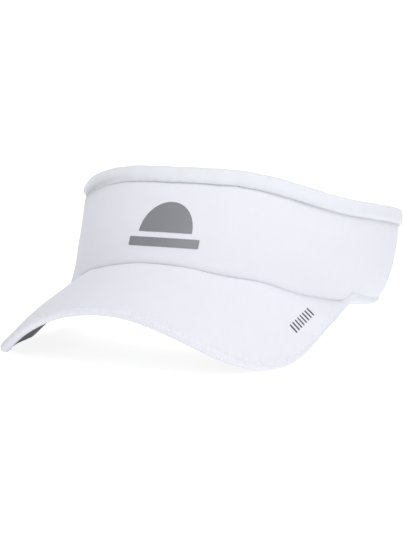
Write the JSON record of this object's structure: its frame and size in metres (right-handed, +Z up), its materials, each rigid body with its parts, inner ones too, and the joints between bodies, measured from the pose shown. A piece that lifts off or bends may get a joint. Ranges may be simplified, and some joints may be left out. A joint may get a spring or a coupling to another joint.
{
  "type": "sun visor",
  "caption": "Sports sun visor: padded open-top head band, curved brim and hook-and-loop strap at the back.",
  "frame": {"origin": "on the table, below the middle of the visor's bounding box, as it lies on the sides of its brim and on its rear hem", "axes": "-Y points where the brim points, +X to the wearer's left, +Z up from the table"},
  "size_m": [0.1946, 0.2586, 0.0979],
  "materials": {
    "shell_fabric": "smooth stretch weave",
    "padding": "matte foam and felt",
    "towelling": "looped pile",
    "binding_fabric": "smooth stretch weave",
    "tape": "plain weave",
    "thread": "satin thread",
    "print_film": "satin",
    "dark_print": "satin",
    "brim_fabric": "smooth stretch weave",
    "underbrim_fabric": "smooth weave",
    "brim_plastic": "satin",
    "edge_fabric": "ribbed",
    "label": "satin ribbon",
    "webbing": "plain weave",
    "hook_tape": "fine hooks",
    "loop_tape": "brushed loops"
  },
  "bodies": {
    "crown": {"front_panel": "shell_fabric", "front_interlining": "padding", "front_seam_tape": "tape", "front_sweatband": "towelling", "front_top_binding": "binding_fabric", "left_temple_hem": "binding_fabric", "right_temple_hem": "binding_fabric", "top_binding_stitches": "thread", "emblem": "print_film", "brim_top_cover": "brim_fabric", "brim_board": "brim_plastic", "brim_under_cover": "underbrim_fabric", "brim_edge_binding": "edge_fabric", "brim_edge_stitches": "thread", "brim_mark": "dark_print", "size_label": "label"},
    "left_band": {"left_band_shell": "shell_fabric", "left_band_interlining": "padding", "left_sweatband": "towelling", "left_top_binding": "binding_fabric", "left_hem_binding": "binding_fabric", "left_end_binding": "tape", "left_strap": "webbing", "left_strap_stitches": "thread"},
    "right_band": {"right_band_shell": "shell_fabric", "right_band_interlining": "padding", "right_sweatband": "towelling", "right_top_binding": "binding_fabric", "right_hem_binding": "binding_fabric", "right_end_binding": "tape", "right_strap": "webbing", "right_strap_stitches": "thread", "loop_patch": "loop_tape", "care_label": "label"},
    "strap_tab": {"strap_tab": "webbing", "hook_patch": "hook_tape", "pull_end": "tape", "tab_stitches": "thread"}
  },
  "joints": [
    {"name": "left_temple", "type": "hinge", "parent": "crown", "child": "left_band", "pos_m": [0.086, 0.02778, 0.01514], "axis": [0.1309, 0.2035, 0.9703], "range_deg": [-3, 5]},
    {"name": "right_temple", "type": "hinge", "parent": "crown", "child": "right_band", "pos_m": [-0.086, 0.02778, 0.01514], "axis": [-0.1309, 0.2035, 0.9703], "range_deg": [-5, 3]},
    {"name": "tab_peel", "type": "hinge", "parent": "left_band", "child": "strap_tab", "pos_m": [0.02289, 0.12174, 0.01587], "axis": [-0.0428, -0.3699, -0.9281], "range_deg": [0, 100]}
  ],
  "couplings": [
    {"joint": "right_temple", "follows": "left_temple", "ratio": -1}
  ]
}
